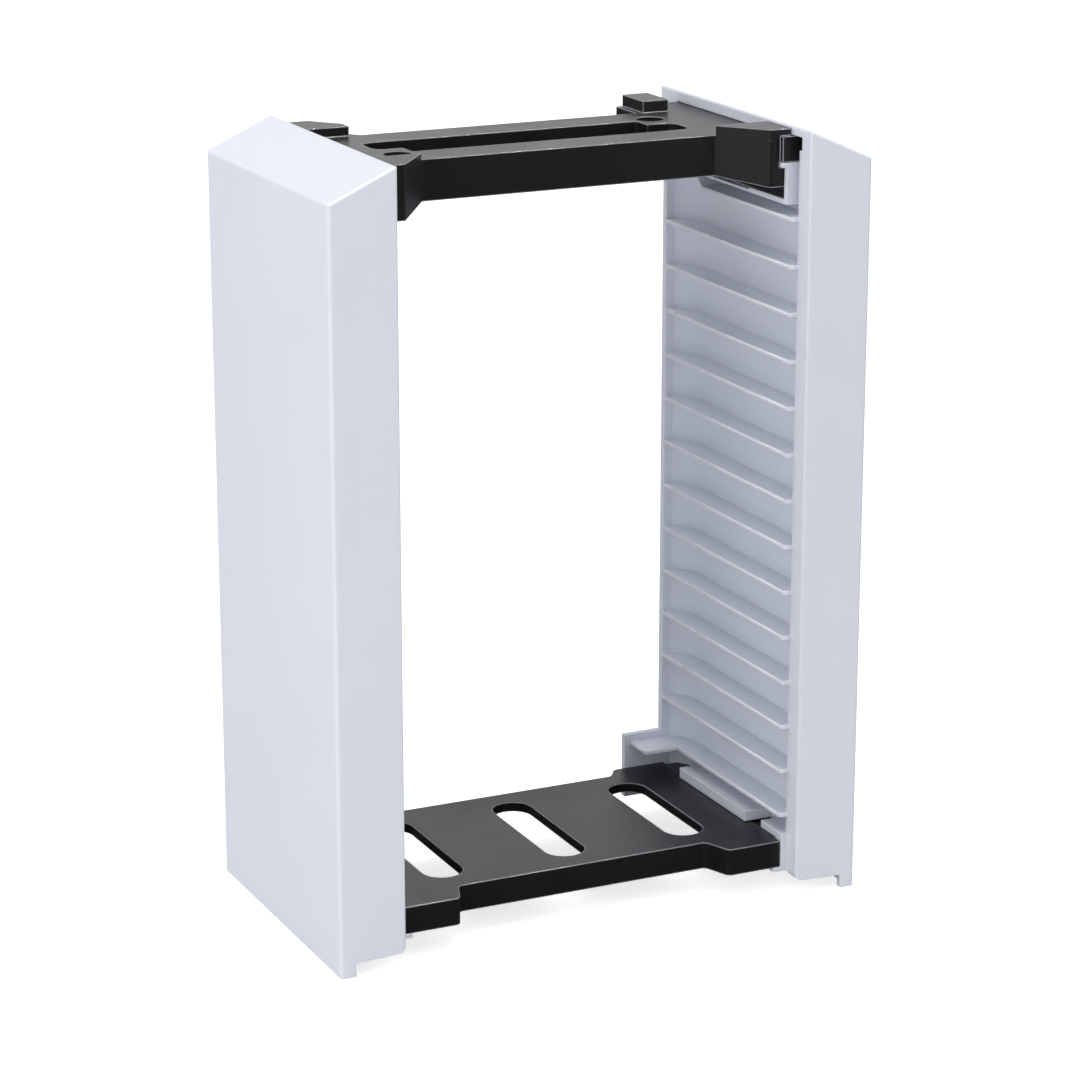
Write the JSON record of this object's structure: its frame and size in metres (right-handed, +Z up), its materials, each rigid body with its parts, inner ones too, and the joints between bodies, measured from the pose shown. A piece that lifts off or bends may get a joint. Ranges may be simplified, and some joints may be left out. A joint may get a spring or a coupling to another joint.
{
  "type": "disc storage rack",
  "caption": "Free-standing rack for disc cases: two tall moulded side panels with shelf ribs inside, joined by a trough-topped cross-beam and a slotted base plate.",
  "frame": {"origin": "centre of the footprint on the table, under the middle of the rack", "axes": "+X to the rack's right seen from the front, +Y to the back, +Z up; cases slide in along +Y"},
  "size_m": [0.227, 0.126, 0.3137],
  "materials": {
    "white_cover": "satin",
    "pale_guide": "satin",
    "black_moulding": "fine texture"
  },
  "bodies": {
    "root": {"left_side_cover": "white_cover", "right_side_cover": "white_cover", "left_disc_guide": "pale_guide", "right_disc_guide": "pale_guide", "top_beam": "black_moulding", "base_plate": "black_moulding"}
  },
  "joints": []
}
